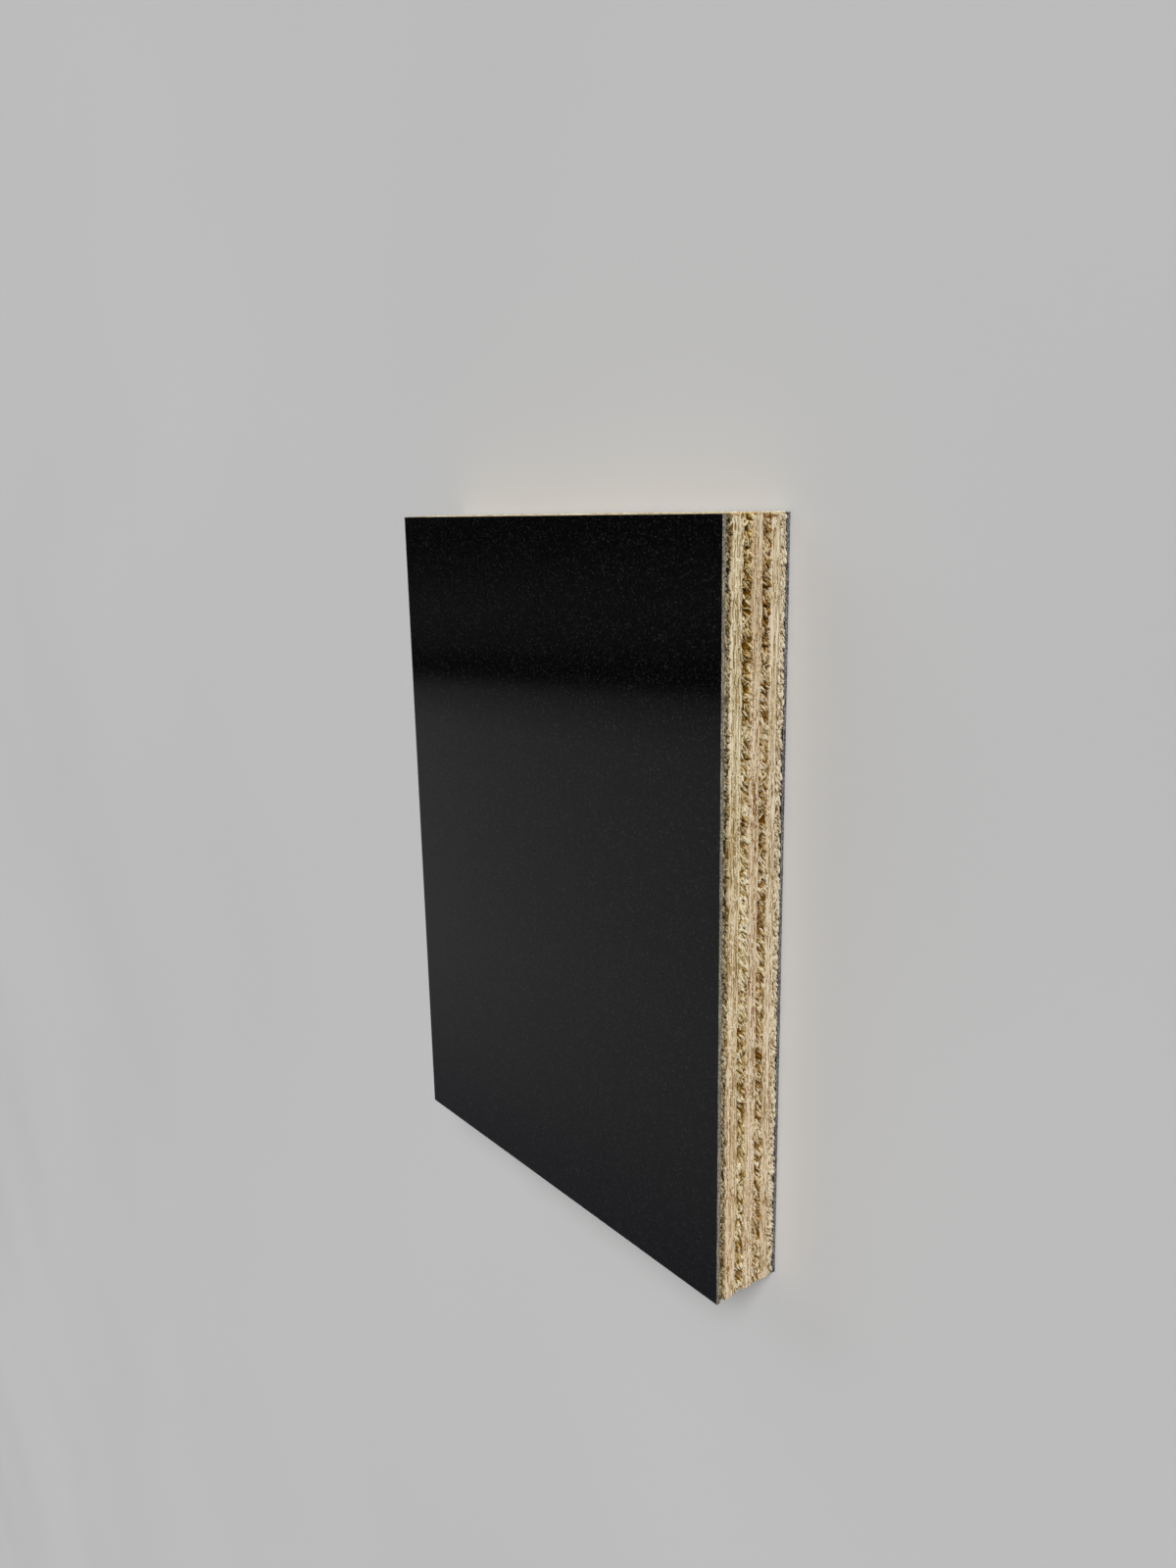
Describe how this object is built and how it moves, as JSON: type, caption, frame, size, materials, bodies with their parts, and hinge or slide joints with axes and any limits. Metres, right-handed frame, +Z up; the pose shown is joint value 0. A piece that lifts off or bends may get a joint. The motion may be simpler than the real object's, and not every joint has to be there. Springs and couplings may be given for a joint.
{
  "type": "laminate-faced plywood sheet",
  "caption": "Rectangular plywood sheet, crossed pale veneers glued in a stack between thin black laminate skins, with rough sawn square edges, cut to a hand-sample size.",
  "frame": {"origin": "centre of the underside, the back laminate's outer face, on the surface that the sheet lies on", "axes": "+Z up through the layers, out of the black face; +Y along the sheet's length; +X across its width, towards the long edge that the picture shows"},
  "size_m": [0.105, 0.148, 0.0161],
  "materials": {
    "black_laminate": "black satin high-pressure laminate, grey where sawn",
    "cross_veneer": "sawn poplar veneer, end grain on the long edges",
    "long_veneer": "sawn poplar veneer, long grain on the long edges"
  },
  "bodies": {
    "root": {"face_laminate": "black_laminate", "face_veneer": "cross_veneer", "upper_crossband": "long_veneer", "upper_core": "cross_veneer", "centre_ply": "long_veneer", "lower_core": "cross_veneer", "lower_crossband": "long_veneer", "back_veneer": "cross_veneer", "back_laminate": "black_laminate"}
  },
  "joints": []
}
